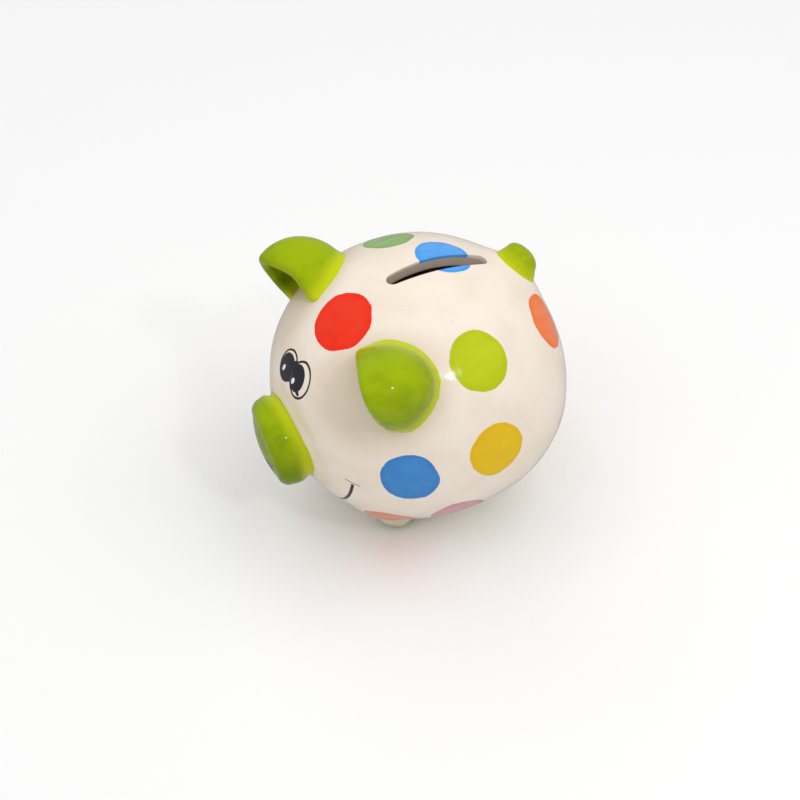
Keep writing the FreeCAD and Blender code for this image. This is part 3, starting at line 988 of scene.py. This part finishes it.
def foot_glaze():
    """Cream clay with a thin watery green wash that gathers at the sole."""
    g = Glaze("foot_glaze")
    low = g.math("ADD", g.split(g.spot)[2], CENTRE[2])
    wash = g.math("ADD", low, g.math("MULTIPLY", g.noise(g.spot, 3.0, 3.0), 3.0))
    colour = g.mix(g.ramp(wash, 2.2, 5.2, 0.8, 0.15), CREAM_THIN, LIME_WASH)
    under = g.ramp(low, 0.05, 0.35, 1, 0)
    grain = g.noise(g.spot, 0.8, 3.0, 0.6)
    colour = g.mix(under, colour, g.mix(grain, SOLE_GRAIN, SOLE))
    rough = g.math("MAXIMUM", g.ramp(g.noise(g.spot, 4.0, 3.0), 0.3, 0.75, 0.1, 0.2),
                   g.math("MULTIPLY", under, 0.8))
    return g.finish(colour, g.noise(g.spot, 4.0, 2.0), 0.2, rough)


def stopper_rubber():
    """Soft milky rubber with a fine mould texture and a little dust."""
    g = Glaze("soft_rubber")
    clouds = g.noise(g.spot, 6.0, 3.0)
    colour = g.mix(g.ramp(clouds, 0.3, 0.7), srgb(206, 203, 192), srgb(188, 184, 170))
    dust = g.ramp(g.noise(g.spot, 1.1, 4.0, 0.7), 0.58, 0.72, 0, 0.35)
    colour = g.mix(dust, colour, srgb(150, 142, 126))
    rough = g.ramp(clouds, 0.3, 0.7, 0.42, 0.58)
    return g.finish(colour, g.noise(g.spot, 0.35, 2.0), 0.03, rough)


# ---- the object --------------------------------------------------------------------------

make_body(body_glaze())
make_snout(snout_glaze())
for ear_side, seed in (("left", 11.0), ("right", 17.0)):
    make_ear(ear_side, finish_green(*green_glaze(f"ear_glaze_{ear_side}", seed, 30.0)))
make_tail(finish_green(*green_glaze("tail_glaze", 23.0, 30.0, 8.0)))
make_feet(foot_glaze())

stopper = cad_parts["stopper"]
stopper.data.materials.clear()
stopper.data.materials.append(stopper_rubber().material)


# ---- floor, light and camera -------------------------------------------------------------

CAMERA_TURN = math.radians(61.5)
CAMERA_RISE = math.radians(43.0)
CAMERA_AWAY = 490.0
LENS = 69.4                               # for Blender's 36 mm wide film
AIM = (-5.4, -8.2)                        # the picture's middle, right of and above the body's


def plain_material(name, colour, roughness):
    """A quiet uneven matt finish for the stage."""
    material = bpy.data.materials.new(name)
    material.use_nodes = True
    nodes, links = material.node_tree.nodes, material.node_tree.links
    shader = nodes["Principled BSDF"]
    noise = nodes.new("ShaderNodeTexNoise")
    noise.inputs["Scale"].default_value = 3.0
    ramp = nodes.new("ShaderNodeMix")
    ramp.data_type = "RGBA"
    ramp.inputs[6].default_value = (*[c * 0.985 for c in colour], 1)
    ramp.inputs[7].default_value = (*colour, 1)
    links.new(noise.outputs["Fac"], ramp.inputs["Factor"])
    links.new(ramp.outputs[2], shader.inputs["Base Color"])
    shader.inputs["Roughness"].default_value = roughness
    return material


def make_floor():
    """A plain pale floor far larger than the view."""
    size = 3.0                            # half its side, in metres
    mesh = bpy.data.meshes.new("floor")
    corners = [(-size, -size, 0), (size, -size, 0), (size, size, 0), (-size, size, 0)]
    mesh.from_pydata(corners, [], [(0, 1, 2, 3)])
    mesh.materials.append(plain_material("pale_floor", (0.97, 0.97, 0.97), 0.75))
    floor = bpy.data.objects.new("floor", mesh)
    floor.visible_glossy = False
    bpy.context.scene.collection.objects.link(floor)


def make_lamp(name, turn, rise, away, size, watts):
    """A square soft box that looks at the body's centre."""
    light = bpy.data.lights.new(name, "AREA")
    light.size = size
    light.energy = watts
    lamp = bpy.data.objects.new(name, light)
    d = Vector(direction(turn, rise))
    lamp.location = Vector(CENTRE / MM) + d * away
    lamp.rotation_euler = d.to_track_quat("Z", "Y").to_euler()
    lamp.visible_camera = False
    bpy.context.scene.collection.objects.link(lamp)
    return lamp


def make_light():
    """A pale even room, three large soft boxes, and one small lamp that glints in the glaze."""
    world = bpy.data.worlds.new("studio")
    world.use_nodes = True
    background = world.node_tree.nodes["Background"]
    background.inputs["Color"].default_value = (1.0, 1.0, 1.0, 1)
    background.inputs["Strength"].default_value = 0.4
    bpy.context.scene.world = world
    for name, turn, rise, watts in (
            ("rear_box", 150, 60, 9.6), ("front_box", 10, 60, 7.2), ("right_box", -90, 55, 5.0)):
        make_lamp(name, turn, rise, 1.6, 1.4, watts).visible_glossy = False
    make_lamp("flash", 100, 47, 0.8, 0.08, 0.6)
    bpy.context.scene.view_settings.view_transform = "Standard"


def make_camera():
    """The camera at the three-quarter view from above on the pig's left."""
    back = Vector((
        math.sin(CAMERA_TURN) * math.cos(CAMERA_RISE),
        -math.cos(CAMERA_TURN) * math.cos(CAMERA_RISE),
        math.sin(CAMERA_RISE)))
    right = Vector((math.cos(CAMERA_TURN), math.sin(CAMERA_TURN), 0))
    up = back.cross(right)
    middle = Vector(CENTRE)
    place = middle + back * CAMERA_AWAY
    aim = middle + right * AIM[0] + up * AIM[1]
    camera = bpy.data.objects.new("camera", bpy.data.cameras.new("camera"))
    camera.data.lens = LENS
    camera.data.clip_start = 0.01
    camera.location = place / MM
    camera.rotation_euler = (place - aim).to_track_quat("Z", "Y").to_euler()
    bpy.context.scene.collection.objects.link(camera)
    bpy.context.scene.camera = camera


make_floor()
make_light()
make_camera()
